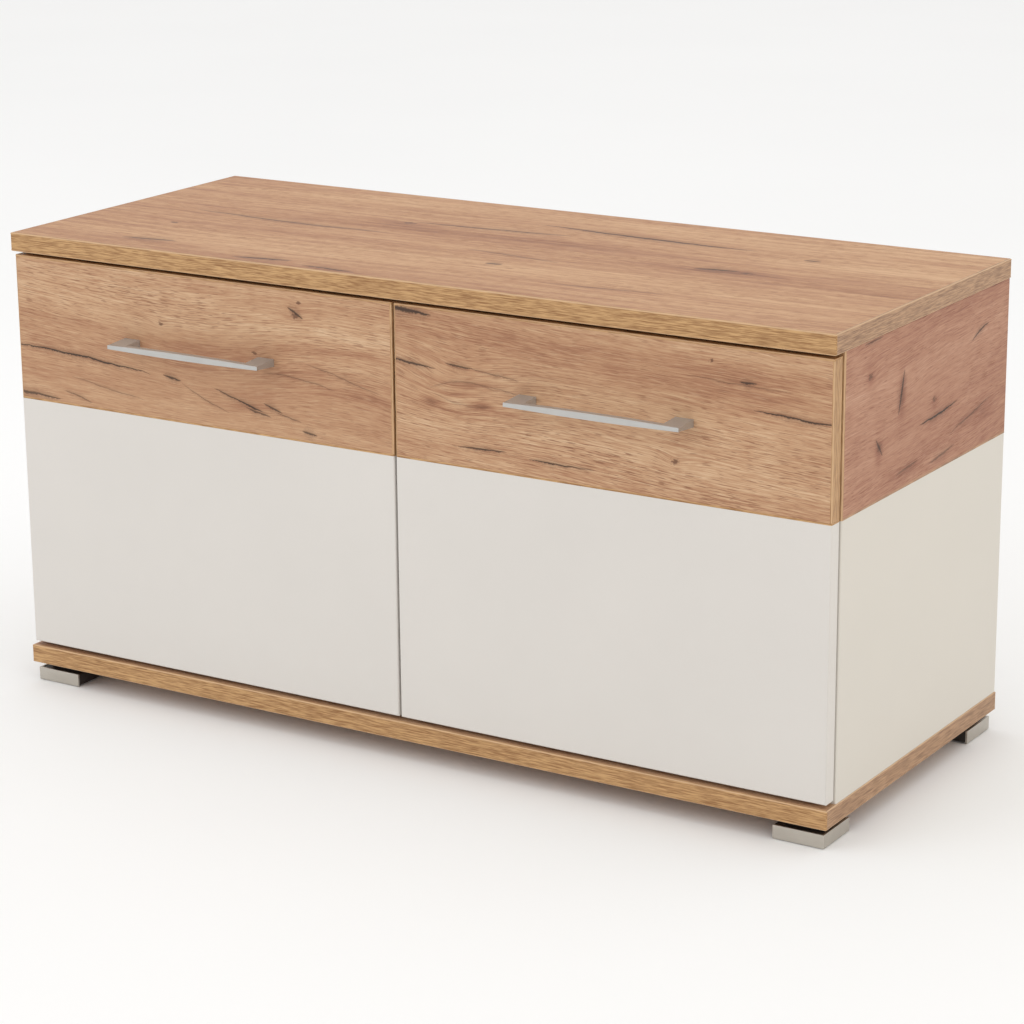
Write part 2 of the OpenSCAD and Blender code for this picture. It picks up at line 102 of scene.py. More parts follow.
class Shader:
    """A material with a Principled shader, and short ways to add and join nodes."""

    def __init__(self, name):
        self.material = bpy.data.materials.new(name)
        self.material.use_nodes = True
        self.tree = self.material.node_tree
        self.tree.nodes.clear()
        self.bsdf = self.add("ShaderNodeBsdfPrincipled")
        output = self.add("ShaderNodeOutputMaterial")
        self.tree.links.new(self.bsdf.outputs["BSDF"], output.inputs["Surface"])
        coords = self.add("ShaderNodeTexCoord")
        self.coords = coords.outputs["Object"]
        split = self.add("ShaderNodeSeparateXYZ")
        self.put(split.inputs[0], self.coords)
        self.axes = dict(zip("XYZ", split.outputs))

    def add(self, kind, **settings):
        node = self.tree.nodes.new(kind)
        for key, value in settings.items():
            setattr(node, key, value)
        return node

    def put(self, socket, value):
        if isinstance(value, bpy.types.NodeSocket):
            self.tree.links.new(value, socket)
        elif value is not None:
            socket.default_value = value

    def math(self, operation, *values):
        node = self.add("ShaderNodeMath", operation=operation)
        for socket, value in zip(node.inputs, values):
            self.put(socket, value)
        return node.outputs[0]

    def total(self, values):
        result = values[0]
        for value in values[1:]:
            result = self.math("ADD", result, value)
        return result

    def highest(self, values):
        result = values[0]
        for value in values[1:]:
            result = self.math("MAXIMUM", result, value)
        return result

    def point(self, x=0.0, y=0.0, z=0.0):
        node = self.add("ShaderNodeCombineXYZ")
        for socket, value in zip(node.inputs, (x, y, z)):
            self.put(socket, value)
        return node.outputs[0]

    def noise(self, vector, scale=1.0, detail=2.0, roughness=0.5, distortion=0.0):
        node = self.add("ShaderNodeTexNoise")
        self.put(node.inputs["Vector"], vector)
        node.inputs["Scale"].default_value = scale
        node.inputs["Detail"].default_value = detail
        node.inputs["Roughness"].default_value = roughness
        node.inputs["Distortion"].default_value = distortion
        return node.outputs[0]

    def remap(self, value, low, high, to_low=0.0, to_high=1.0, smooth=False):
        node = self.add("ShaderNodeMapRange")
        if smooth:
            node.interpolation_type = "SMOOTHSTEP"
        for socket, number in zip(node.inputs, (value, low, high, to_low, to_high)):
            self.put(socket, number)
        return node.outputs[0]

    def ramp(self, value, stops):
        node = self.add("ShaderNodeValToRGB")
        self.put(node.inputs[0], value)
        elements = node.color_ramp.elements
        while len(elements) < len(stops):
            elements.new(0.5)
        for element, (position, colour) in zip(elements, stops):
            element.position = position
            element.color = colour
        return node.outputs[0]

    def mix(self, amount, first, second):
        node = self.add("ShaderNodeMix", data_type="RGBA")
        self.put(node.inputs[0], amount)
        self.put(node.inputs[6], first)
        self.put(node.inputs[7], second)
        return node.outputs[2]

    def bump(self, height, distance):
        node = self.add("ShaderNodeBump")
        node.inputs["Strength"].default_value = 1.0
        node.inputs["Distance"].default_value = distance
        self.put(node.inputs["Height"], height)
        self.put(self.bsdf.inputs["Normal"], node.outputs[0])

    def finish(self, colour, roughness, metallic=0.0, specular=0.5):
        self.put(self.bsdf.inputs["Base Color"], colour)
        self.put(self.bsdf.inputs["Roughness"], roughness)
        self.bsdf.inputs["Metallic"].default_value = metallic
        self.bsdf.inputs["Specular IOR Level"].default_value = specular
        return self.material


# ---------- oak decor ----------

OAK_CRACK = linear(58, 42, 33)
OAK_BURN = linear(112, 76, 56)
NEUTRAL = (1.0, 1.0, 1.0)
# The contrasts of the bands, streaks, fibres and hairs
STRENGTHS = (0.62, 0.40, 1.05, 0.85)
FINE_RELIEF = 0.0001
# How strongly the rounded edging is lightened: a painted highlight, partly also the paler scraped edge
RIM_SCRAPE_AND_HIGHLIGHT_AMOUNT = 0.72


def palette(tint):
    """The oak's tones from dark to pale, each multiplied by a tint."""
    tones = [
        (0.08, linear(143, 98, 72)),
        (0.32, linear(172, 124, 93)),
        (0.54, linear(190, 146, 111)),
        (0.76, linear(205, 165, 129)),
        (0.96, linear(219, 184, 148)),
    ]
    return [(at, (*[c * t for c, t in zip(colour[:3], tint)], 1.0)) for at, colour in tones]


def centred(s, value, amount):
    """Noise turned into a shift of up to half an amount either way."""
    return s.math("MULTIPLY", s.math("SUBTRACT", value, 0.5), amount)


class Face:
    """The face of a board, with its grain along u, and v across the grain."""

    def __init__(self, shader, board, along, across, seed):
        low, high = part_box(board)
        self.shader = shader
        self.seed = seed
        self.u, self.v = shader.axes[along], shader.axes[across]
        self.spans = [(low["XYZ".index(axis)], high["XYZ".index(axis)]) for axis in (along, across)]

    def place(self, part_u, part_v):
        """The point at so many hundredths of the board's length and height."""
        (u0, u1), (v0, v1) = self.spans
        return u0 + (u1 - u0) * part_u / 100, v0 + (v1 - v0) * part_v / 100

    def wave(self, across, per_u, per_v, shift, detail=2.0, roughness=0.55):
        """Noise with per_u waves a metre along the grain and per_v across it."""
        s = self.shader
        far_u = s.math("MULTIPLY", self.u, per_u)
        far_v = s.math("MULTIPLY", across, per_v)
        return s.noise(s.point(far_u, far_v, self.seed + shift), 1.0, detail, roughness)

    def hill(self, centre, reach_u, reach_v, across=None):
        """1 at a centre, and near nothing two reaches away from it."""
        s = self.shader
        across = self.v if across is None else across
        far_u = s.math("DIVIDE", s.math("SUBTRACT", self.u, centre[0]), reach_u * MM)
        far_v = s.math("DIVIDE", s.math("SUBTRACT", across, centre[1]), reach_v * MM)
        square = s.math("MULTIPLY_ADD", far_u, far_u, s.math("MULTIPLY", far_v, far_v))
        return s.math("EXPONENT", s.math("MULTIPLY", square, -1.0))


def flow(face, tilt, sway, bends):
    """The height across the grain, bent so that the grain flows round knots and swirls."""
    s = face.shader
    broad_wave = face.wave(face.v, 2.4, 5.0, 0, 1.0)
    small_wave = face.wave(face.v, 9.0, 26.0, 3, 1.0)
    parts = [
        face.v,
        s.math("MULTIPLY", face.u, tilt),
        centred(s, broad_wave, sway),
        centred(s, small_wave, 0.0045),
    ]
    for part_u, part_v, radius, pull in bends:
        bend = face.hill(face.place(part_u, part_v), radius * 3.2, radius * 1.6)
        parts.append(s.math("MULTIPLY", bend, pull * radius * MM))
    return s.total(parts)


def oak_tone(face, field, tilt, strengths, patches, clarity, fibres, lift):
    """How pale the wood is at each point, from its bands, streaks, fine grain and patches."""
    s = face.shader
    bands = face.wave(field, 1.0, 15.0, 11)
    streaks = face.wave(field, 3.0, 110.0, 17, 3.0, 0.6)
    hairs = face.wave(field, 42.0, 820.0, 27, 2.0, 0.6)
    cloud = face.wave(face.v, 26.0, 55.0, 37, 3.0, 0.6)
    fine_grain = s.math("ADD", centred(s, fibres, strengths[2]), centred(s, hairs, strengths[3]))
    tone = [
        centred(s, bands, strengths[0]),
        centred(s, streaks, strengths[1]),
        s.math("MULTIPLY", fine_grain, clarity),
        centred(s, cloud, 0.30),
        0.56 + lift,
    ]
    for part_u, part_v, reach_u, reach_v, shift in patches:
        centre = face.place(part_u, part_v)
        level = s.math("SUBTRACT", field, tilt * centre[0])
        tone.append(s.math("MULTIPLY", face.hill(centre, reach_u, reach_v, level), shift))
    return s.total(tone)


def pore_mask(face, field):
    """Short dashes along the grain, denser in some streaks than in others."""
    s = face.shader
    dashes = face.wave(field, 62.0, 980.0, 29, 1.0, 0.5)
    where = face.wave(field, 5.0, 34.0, 31)
    dense = s.remap(where, 0.35, 0.65, 0.62, 0.52)
    return s.remap(s.math("SUBTRACT", dashes, dense), 0.0, 0.10, 0.0, 1.0, smooth=True)


def knot_masks(face, knots):
    """A speckled dark heart for each knot."""
    s = face.shader
    specks = face.wave(face.v, 260.0, 420.0, 0, 3.0, 0.7)
    masks = []
    for part_u, part_v, radius, _ in knots:
        near = face.hill(face.place(part_u, part_v), radius, radius * 0.6)
        rough = s.math("ADD", near, centred(s, specks, 2.4))
        masks.append(s.remap(rough, 0.42, 0.90, 0.0, 1.0, smooth=True))
    return masks


def crack_masks(face, cracks):
    """The dark cores of the cracks, and the brown halos round them."""
    s = face.shader
    fine = face.wave(face.v, 120.0, 30.0, 41)
    coarse = face.wave(face.v, 20.0, 8.0, 43)
    ragged = face.wave(face.v, 420.0, 900.0, 0, 2.0, 0.7)
    wiggle = s.total([centred(s, fine, 0.0022), centred(s, coarse, 0.0060), centred(s, ragged, 0.0010)])
    width_noise = s.math("MULTIPLY_ADD", fine, 1.2, s.math("MULTIPLY_ADD", ragged, 2.6, -0.80))
    cores, halos = [], []
    for from_u, from_v, to_u, to_v, bow, width, depth in cracks:
        start, end = face.place(from_u, from_v), face.place(to_u, to_v)
        run, side = face.u, face.v
        if abs(end[0] - start[0]) < abs(end[1] - start[1]):
            run, side = face.v, face.u
            start, end = start[::-1], end[::-1]
        half_run, half_rise = (end[0] - start[0]) / 2, (end[1] - start[1]) / 2
        middle = start[1] + half_rise - bow * MM
        t = s.math("DIVIDE", s.math("SUBTRACT", run, start[0] + half_run), half_run)
        square = s.math("MULTIPLY", t, t)
        taper = s.math("MAXIMUM", s.math("SUBTRACT", 1.0, square), 0.0)
        path = s.math("MULTIPLY_ADD", t, half_rise, s.math("MULTIPLY_ADD", square, bow * MM, middle))
        off = s.math("ABSOLUTE", s.math("SUBTRACT", s.math("ADD", side, wiggle), path))
        reach = s.math("MULTIPLY", s.math("MULTIPLY", taper, width_noise), width * MM)
        ratio = s.math("DIVIDE", off, s.math("MAXIMUM", reach, 0.00001))
        cores.append(s.remap(ratio, 0.35, 1.25, depth, 0.0, smooth=True))
        halos.append(s.remap(ratio, 0.6, 6.0, 0.42 * depth, 0.0, smooth=True))
    return cores, halos


def oak(name, board, along, across, seed, tilt=0.0, sway=0.022, tint=NEUTRAL, strengths=STRENGTHS,
        knots=(), swirls=(), cracks=(), patches=(), crisp=(), lift=0.0):
    """Printed oak: fine fibres and streaks that flow round knots, with pores, cracks and soft bands.

    Places (u, v) are in hundredths of the board's length and height, from its low corner; radius, bow,
    width and reach are in millimetres. knots are (u, v, radius, pull) and swirls the same without a dark
    heart; cracks are (u, v, to u, to v, bow, width, depth); patches are (u, v, reach along, reach across,
    shift), lighter over 0, and crisp the same for the contrast of the fine grain.
    """
    s = Shader(name)
    face = Face(s, board, along, across, seed)
    field = flow(face, tilt, sway, (*knots, *swirls))
    clarity = s.total([1.0] + [
        s.math("MULTIPLY", face.hill(face.place(part_u, part_v), reach_u, reach_v), change)
        for part_u, part_v, reach_u, reach_v, change in crisp
    ])
    fibres = face.wave(field, 14.0, 540.0, 23, 3.0, 0.7)
    tones = palette(tint)
    darkest, palest = tones[0][1], tones[-1][1]
    colour = s.ramp(oak_tone(face, field, tilt, strengths, patches, clarity, fibres, lift), tones)

    pores = pore_mask(face, field)
    colour = s.mix(s.math("MULTIPLY", s.math("MULTIPLY", pores, 0.60), clarity), colour, darkest)
    gleams = face.wave(field, 46.0, 860.0, 53, 1.0, 0.5)
    flecks = s.remap(gleams, 0.56, 0.70, 0.0, 0.30, smooth=True)
    colour = s.mix(flecks, colour, palest)

    cores, halos = crack_masks(face, cracks)
    burns = [s.math("MULTIPLY", mask, 0.86) for mask in knot_masks(face, knots)] + halos
    if burns:
        colour = s.mix(s.highest(burns), colour, OAK_BURN)
    dark = s.highest(cores) if cores else 0.0
    colour = s.mix(dark, colour, OAK_CRACK)

    relief = s.total([
        s.math("MULTIPLY", fibres, 0.5),
        s.math("MULTIPLY", pores, -0.5),
        s.math("MULTIPLY", dark, -0.9),
    ])
    s.bump(relief, FINE_RELIEF)
    roughness = s.math("MULTIPLY_ADD", pores, 0.10, s.math("MULTIPLY_ADD", fibres, 0.14, 0.46))
    return s.finish(colour, roughness, specular=0.32)


def rounded_mask(s, along):
    """1 on the rounded edges that run along an axis, and 0 on the flat faces."""
    split = s.add("ShaderNodeSeparateXYZ")
    s.put(split.inputs[0], s.add("ShaderNodeTexCoord").outputs["Normal"])
    part = s.math("ABSOLUTE", split.outputs["Y" if along == "Z" else "Z"])
    rest = s.math("SQRT", s.math("MAXIMUM", s.math("SUBTRACT", 1.0, s.math("MULTIPLY", part, part)), 0.0))
    return s.remap(s.math("MAXIMUM", part, rest), 0.84, 0.985, 1.0, 0.0, smooth=True)


def edge_band(name, along, seed, light, dark, rim_scrape_and_highlight):
    """Oak edging: straight fine grain along the strip, with a painted highlight on its rounded edges that
    partly also stands for their paler scraped finish.
    """
    s = Shader(name)
    others = [axis for axis in "XYZ" if axis != along]
    u, p, q = s.axes[along], s.axes[others[0]], s.axes[others[1]]

    def layer(per_u, per_v, shift, detail):
        point = s.point(
            s.math("MULTIPLY", u, per_u),
            s.math("MULTIPLY", q, per_v),
            s.math("MULTIPLY_ADD", p, per_v, seed + shift),
        )
        return s.noise(point, 1.0, detail, 0.6)

    fine = layer(20.0, 620.0, 0.0, 3.0)
    hairs = layer(60.0, 900.0, 5.0, 2.0)
    dashes = layer(50.0, 900.0, 7.0, 1.0)
    broad = layer(5.0, 80.0, 9.0, 2.0)
    tone = s.total([centred(s, fine, 1.7), centred(s, hairs, 2.3), centred(s, broad, 0.20), 0.58])
    colour = s.ramp(tone, [(0.10, dark), (0.90, light)])
    pores = s.remap(dashes, 0.55, 0.68, 0.0, 1.0, smooth=True)
    colour = s.mix(s.math("MULTIPLY", pores, 0.60), colour, dark)
    # The rounded edges get a painted highlight, which partly also stands for the edging being paler where it
    # was scraped round after gluing
    colour = s.mix(s.math("MULTIPLY", rounded_mask(s, along), RIM_SCRAPE_AND_HIGHLIGHT_AMOUNT), colour, rim_scrape_and_highlight)
    s.bump(s.math("SUBTRACT", fine, pores), FINE_RELIEF)
    return s.finish(colour, s.math("MULTIPLY_ADD", fine, 0.16, 0.38), specular=0.36)


# ---------- the other materials ----------

def board_white(name, colour, seed):
    """White melamine: a fine pebbled surface with a very faint unevenness."""
    s = Shader(name)
    cloud = s.noise(s.coords, 7.0, 3.0, 0.6)
    grain = s.noise(s.coords, 900.0 + seed, 2.0, 0.6)
    pebbles = s.noise(s.coords, 2600.0, 1.0)
    tone = s.total([centred(s, cloud, 0.5), centred(s, grain, 0.35), 0.5])
    tint = s.ramp(tone, [(0.2, shaded(colour, 0.955)), (0.8, shaded(colour, 1.03))])
    s.bump(s.math("ADD", grain, s.math("MULTIPLY", pebbles, 0.5)), 0.00003)
    roughness = s.math("MULTIPLY_ADD", cloud, 0.10, s.math("MULTIPLY_ADD", grain, 0.08, 0.34))
    return s.finish(tint, roughness, specular=0.45)


def stretched_point(s, scales):
    """The object's point, with so many waves a metre along X, Y and Z."""
    return s.point(*[s.math("MULTIPLY", s.axes[axis], scale) for axis, scale in zip("XYZ", scales)])


def brushed(name, colour, along, roughness, metallic=1.0):
    """Brushed metal: fine lines along one axis, with faint smudges."""
    s = Shader(name)
    point = stretched_point(s, [28.0 if axis == along else 2400.0 for axis in "XYZ"])
    lines = s.noise(point, 1.0, 3.0, 0.7)
    smudge = s.noise(s.coords, 38.0, 3.0, 0.6)
    tone = s.total([centred(s, lines, 0.7), centred(s, smudge, 0.5), 0.5])
    tint = s.ramp(tone, [(0.15, shaded(colour, 0.84)), (0.85, shaded(colour, 1.12))])
    s.bump(lines, 0.00003)
    rough = s.total([s.math("MULTIPLY", lines, 0.14), s.math("MULTIPLY", smudge, 0.10), roughness - 0.12])
    return s.finish(tint, rough, metallic=metallic)


def steel(name, colour, roughness):
    """Zinc-plated sheet steel: faint cloudy spangle."""
    s = Shader(name)
    cells = s.add("ShaderNodeTexVoronoi")
    s.put(cells.inputs["Vector"], s.coords)
    cells.inputs["Scale"].default_value = 260.0
    spangle = s.math("MULTIPLY", cells.outputs["Distance"], 0.8)
    cloud = s.noise(s.coords, 60.0, 3.0, 0.6)
    tone = s.math("MULTIPLY_ADD", spangle, 0.35, s.math("MULTIPLY", cloud, 0.7))
    tint = s.ramp(tone, [(0.2, shaded(colour, 0.78)), (0.75, colour)])
    s.bump(cloud, 0.00004)
    return s.finish(tint, s.math("MULTIPLY_ADD", cloud, 0.22, roughness - 0.1), metallic=1.0)


def moulded(name, colour, roughness):
    """Moulded plastic with a fine spark-eroded grain."""
    s = Shader(name)
    grain = s.noise(s.coords, 1800.0, 2.0, 0.6)
    cloud = s.noise(s.coords, 35.0, 3.0)
    tone = s.math("MULTIPLY_ADD", grain, 0.5, s.math("MULTIPLY", cloud, 0.5))
    tint = s.ramp(tone, [(0.3, colour), (0.75, shaded(colour, 1.5, 0.004))])
    s.bump(grain, 0.00005)
    return s.finish(tint, s.math("MULTIPLY_ADD", grain, 0.2, roughness - 0.1), specular=0.4)


def felt(name, colour):
    """Needled felt: matted fibres in two directions."""
    s = Shader(name)
    one = s.noise(stretched_point(s, (300.0, 1900.0, 1.0)), 1.0, 3.0)
    two = s.noise(stretched_point(s, (1900.0, 300.0, 1.0)), 1.0, 3.0)
    mat = s.math("MAXIMUM", one, two)
    tint = s.ramp(mat, [(0.4, shaded(colour, 0.6)), (0.75, colour)])
    s.bump(mat, 0.0002)
    return s.finish(tint, 0.95, specular=0.1)


def dowel_wood(name):
    """Beech: pale, with short flecks along the dowel."""
    s = Shader(name)
    flecks = s.noise(stretched_point(s, (1500.0, 1500.0, 160.0)), 1.0, 3.0)
    tint = s.ramp(flecks, [(0.3, linear(196, 158, 116)), (0.7, linear(226, 198, 158))])
    s.bump(flecks, FINE_RELIEF)
    return s.finish(tint, s.math("MULTIPLY_ADD", flecks, 0.2, 0.5), specular=0.3)


def hardboard(name, colour):
    """Lacquered hardboard: matted fibres just visible under the lacquer."""
    s = Shader(name)
    fibre = s.noise(s.coords, 520.0, 4.0, 0.7, 0.8)
    cloud = s.noise(s.coords, 12.0, 3.0)
    tone = s.math("MULTIPLY_ADD", fibre, 0.6, s.math("MULTIPLY", cloud, 0.4))
    tint = s.ramp(tone, [(0.3, shaded(colour, 0.9)), (0.7, colour)])
    s.bump(fibre, 0.00008)
    return s.finish(tint, s.math("MULTIPLY_ADD", fibre, 0.2, 0.45), specular=0.35)


# ---------- oak boards, one material each ----------

SIDE_TINT = (0.88, 0.78, 0.865)
TOP_TINT = (1.02, 0.96, 0.875)

# The marks follow the photo, apart from the left side's, which are invented. Their places began as
# points found through a camera fit, and were partly read again.

LEFT_FRONT_MARKS = dict(
    knots=[
        (76, 84, 7, 0.5), (77, 93, 4, 0.4), (40, 66, 4, 0.6), (65, 55, 4, 0.6),
    ],
    swirls=[(50, 56, 34, 0.35), (85, 40, 30, -0.4)],
    cracks=[
        (-5, 38, 37, 29, -3, 1.1, 0.95),
        (74, 89, 78, 83, 0, 1.6, 0.80),
        (40, 31, 45, 28, 0, 1.3, 0.85),
        (54, 26, 62, 20, 1, 0.9, 0.75),
        (59, 22, 67, 15, 0, 1.1, 0.90),
        (62, 17, 69, 12, 0, 1.0, 0.70),
        (67, 21, 72, 16, 0, 1.2, 0.75),
        (70, 16, 77, 12, 0, 0.8, 0.50),
        (77, 6, 81, 4, 0, 1.3, 0.75),
        (-6, 6, 11, 2, 0, 1.6, 0.75),
        (12, 9, 20, 3, 0, 1.0, 0.50),
        (45, 27, 58, 10, 2, 0.5, 0.50),
        (78, 53, 98, 38, 0, 0.6, 0.40),
        (67, 42, 86, 36, -4, 0.6, 0.40),
        (14, 20, 35, 10, 0, 0.7, 0.35),
    ],
    patches=[
        (40, 82, 320, 24, 0.14), (50, 56, 90, 16, -0.26), (10, 20, 120, 16, -0.12), (75, 20, 170, 22, -0.06),
        (92, 72, 80, 14, 0.12), (85, 60, 60, 6, -0.20), (75, 40, 30, 9, -0.16), (90, 45, 28, 7, 0.14),
        (93, 30, 40, 7, -0.16), (65, 25, 50, 5, -0.14), (62, 17, 34, 6, -0.22), (76, 86, 18, 10, -0.22),
    ],
    crisp=[(50, 13, 330, 46, -0.55), (50, 55, 110, 20, -0.35), (15, 85, 200, 26, 0.15)],
)
RIGHT_FRONT_MARKS = dict(
    knots=[(66, 24, 6, 0.8), (74, 91, 4, 0.2)],
    swirls=[(15, 51, 20, 0.9), (20, 47, 10, -0.6)],
    cracks=[
        (-5, 99, 9, 96, 0, 2.4, 0.90),
        (-5, 66, 10, 62, 0, 1.1, 0.85),
        (12, 66, 19, 65, 0, 1.0, 0.75),
        (18, 65, 30, 61, 0, 0.7, 0.45),
        (83, 64, 104, 62, 2.5, 1.0, 0.90),
        (15, 12, 27, 13, 0, 0.9, 0.85),
        (32, 11, 44, 10, 0, 0.9, 0.85),
        (40, 10, 48, 10, 0, 0.8, 0.50),
        (8, 48, 25, 51, -9, 0.8, 0.30),
        (9, 46, 24, 42, 6, 0.7, 0.25),
        (80, 80, 84, 80, 0, 1.3, 0.85),
        (68, 80, 92, 77, 0, 0.5, 0.35),
        (18, 56, 36, 50, 0, 0.6, 0.35),
    ],
    patches=[
        (40, 86, 320, 26, -0.13), (82, 76, 90, 18, -0.18), (67, 18, 280, 26, 0.13), (10, 23, 90, 20, 0.10),
        (9, 47, 12, 6, -0.56), (14, 57, 22, 3, -0.40), (15, 51, 12, 4, 0.24), (21, 47, 12, 5, -0.56),
        (14, 41, 20, 3, -0.38), (18, 64, 34, 4, -0.34), (25, 41, 26, 6, -0.20),
    ],
    crisp=[(50, 14, 330, 40, 0.40), (38, 84, 330, 30, -0.20), (19, 54, 60, 16, -0.50)],
)
RIGHT_SIDE_MARKS = dict(
    knots=[(14, 78, 6, 0.5), (53, 45, 6, 0.5), (20, 32, 7, 0.5)],
    swirls=[(33, 60, 18, 0.4)],
    cracks=[
        (44, 33, 68, 37, 1.5, 1.1, 1.00),
        (76, 71, 87, 78, 0, 1.1, 0.80),
        (10, 98, 21, 99, 0, 1.1, 0.55),
        (63, 17, 90, 29, 0, 1.0, 0.45),
        (50, 5, 67, 9, 0, 1.2, 0.50),
        (30, 9, 44, 12, 0, 1.2, 0.45),
        (31, 46, 34, 73, 0, 2.0, 0.80),
        (22, 26, 18, 38, 0, 1.7, 0.70),
    ],
    patches=[
        (56, 90, 250, 20, -0.16), (75, 20, 120, 16, -0.14), (30, 13, 80, 14, -0.08), (33, 61, 8, 22, -0.44),
        (20, 32, 9, 12, -0.38), (14, 78, 8, 7, -0.30), (53, 45, 8, 7, -0.30), (56, 34, 46, 6, -0.14),
        (37, 10, 30, 6, -0.22), (86, 22, 22, 9, -0.20),
    ],
    crisp=[(55, 40, 220, 70, -0.45)],
)
LEFT_SIDE_MARKS = dict(
    knots=[(65, 67, 7, 0.5), (25, 37, 5, 0.5)],
    swirls=[(70, 45, 20, 0.4)],
    cracks=[
        (20, 78, 44, 74, 2, 1.3, 0.90),
        (48, 24, 66, 28, -1.5, 1.2, 0.70),
        (79, 82, 93, 85, 0, 1.1, 0.60),
        (10, 17, 22, 14, 0, 1.0, 0.50),
    ],
    patches=[(48, 20, 200, 22, -0.16), (27, 84, 160, 18, 0.12), (80, 58, 60, 14, -0.12)],
)
TOP_MARKS = dict(
    knots=[(35, 64, 10, 0.8), (80, 50, 9, -0.6), (12, 33, 8, 0.6)],
    strengths=(0.85, 0.95, 0.95, 0.60),
    tint=TOP_TINT,
    cracks=[
        (48, 80, 76, 76, 4, 2.2, 0.85),
        (35, 66, 55, 70, 2, 1.9, 0.70),
        (9, 52, 37, 50, 8, 1.8, 0.65),
        (74, 49, 79, 51, 0, 2.6, 0.80),
        (82, 72, 84, 72, 0, 2.2, 0.65),
        (54, 29, 56, 29, 0, 2.4, 0.75),
        (29, 3, 36, 6, 0, 2.4, 0.80),
        (38, 3, 45, 2, 0, 2.0, 0.70),
        (12, 10, 19, 12, 0, 3.2, 0.60),
        (48, 42, 61, 38, 0, 1.4, 0.45),
        (64, 15, 78, 18, 0, 1.3, 0.40),
    ],
    patches=[
        (45, 56, 330, 28, -0.24), (84, 80, 240, 55, 0.18), (55, 33, 400, 34, 0.12), (18, 16, 160, 46, 0.08),
        (16, 10, 60, 10, -0.30), (35, 63, 30, 14, -0.25), (78, 49, 70, 9, -0.35),
    ],
)


def make_oaks():
    top = dict(tilt=-0.02, sway=0.030, lift=-0.02, **TOP_MARKS)
    left_side = dict(tilt=0.05, tint=SIDE_TINT, **LEFT_SIDE_MARKS)
    right_side = dict(tilt=-0.05, tint=SIDE_TINT, **RIGHT_SIDE_MARKS)
    left_front = dict(tilt=0.02, **LEFT_FRONT_MARKS)
    right_front = dict(tilt=0.06, **RIGHT_FRONT_MARKS)
    return {
        "top_board": oak("oak_top", "top_board", "X", "Y", 2.0, **top),
        "base_board": oak("oak_base", "base_board", "X", "Y", 58.0, tilt=0.01),
        "left_front_upper": oak("oak_left_front", "left_front_upper", "X", "Z", 14.0, **left_front),
        "right_front_upper": oak("oak_right_front", "right_front_upper", "X", "Z", 25.0, **right_front),
        "left_side_upper": oak("oak_left_side", "left_side_upper", "Y", "Z", 47.0, **left_side),
        "right_side_upper": oak("oak_right_side", "right_side_upper", "Y", "Z", 33.0, **right_side),
    }


# ---------- putting materials on the frame ----------

RECORD = frame["record"]
BODIES = RECORD["behaviour"]["bodies"]
SLOT_OF = {row["node"]: row["material_slot"] for row in RECORD["subparts"]}
BODY_OF = {node: body for body, nodes in BODIES.items() for node in nodes}
# The pale colour painted on rounded edging: a painted highlight, partly also the paler scraped edge
RIM_SCRAPE_AND_HIGHLIGHT = linear(224, 188, 149)

WHITE = linear(224, 219, 213)
OAKS = make_oaks()
BAND_X = edge_band("oak_band_along_x", "X", 3.0, linear(207, 164, 113), linear(150, 106, 64), RIM_SCRAPE_AND_HIGHLIGHT)
BAND_Y = edge_band("oak_band_along_y", "Y", 8.0, linear(193, 154, 119), linear(140, 104, 76), RIM_SCRAPE_AND_HIGHLIGHT)
BAND_Z = edge_band("oak_band_upright", "Z", 13.0, linear(205, 164, 119), linear(160, 118, 78), RIM_SCRAPE_AND_HIGHLIGHT)
WHITE_BOARD = board_white("white_board", WHITE, 0.0)
# A copy of the white board, a little darker and warmer: painted warm shade for the side boards
WHITE_SIDE_PAINTED_SHADE = board_white("white_side_board_painted_warm_shade", linear(223, 217, 207), 4.0)
PULL_METAL = brushed("satin_nickel", (0.52, 0.51, 0.49, 1.0), "X", 0.42, 0.62)
FOOT_METAL = brushed("brushed_nickel", (0.55, 0.515, 0.46, 1.0), "X", 0.42)

BY_SLOT = {
    "oak_edge_band": BAND_X,
    "white_board": WHITE_BOARD,
    "white_hardboard": hardboard("white_hardboard", linear(222, 218, 211)),
    "beech": dowel_wood("beech"),
    "brushed_nickel": FOOT_METAL,
    "satin_nickel": PULL_METAL,
    "black_plastic": moulded("black_plastic", linear(40, 34, 30), 0.5),
    "grey_felt": felt("grey_felt", linear(128, 128, 130)),
    "zinc_plated_steel": steel("zinc_plated_steel", (0.58, 0.59, 0.60, 1.0), 0.36),
    "rubber": moulded("rubber", linear(150, 148, 145), 0.7),
}
BANDS = {"X": BAND_X, "Y": BAND_Y, "Z": BAND_Z}


def finish_of(node):
    """The material of a CAD node, or of the piece that stands for it."""
    # The white side boards take the copy with painted warm shade
    if node.endswith("_side_lower"):
        return WHITE_SIDE_PAINTED_SHADE
    return OAKS.get(node) or BY_SLOT[SLOT_OF[node]]


for node, piece in frame["nodes"].items():
    finish = finish_of(node)
    slots = piece.data.materials
    for index in range(len(slots)):
        slots[index] = finish
    if not slots:
        slots.append(finish)


# ---------- pieces with rounded edges, which stand for their sharp CAD nodes ----------

TOUCH = 0.00002
DOUBLE = 0.000003
FLAT = math.radians(0.5)
SHARP = math.radians(40)

# Radii of the rounded edges, in millimetres, and the steps of the finest curves
BOARD_RIM = 1.8
BOARD_CORNER = 1.2
SHOWN_EDGE = 1.7
HIDDEN_EDGE = 0.8
BAND_SEAM = 0.5
WHITE_SEAM = 0.4
STEPS = 5

# Radius, shortest rounded edge in millimetres, and steps of the curve
PULL_ROUND = (0.45, 3.0, 3)
BOX_ROUND = (0.5, 20.0, 2)
ANGLE_ROUND = (0.4, 1.0, 3)
BLOCK_ROUND = (0.6, 5.0, 2)


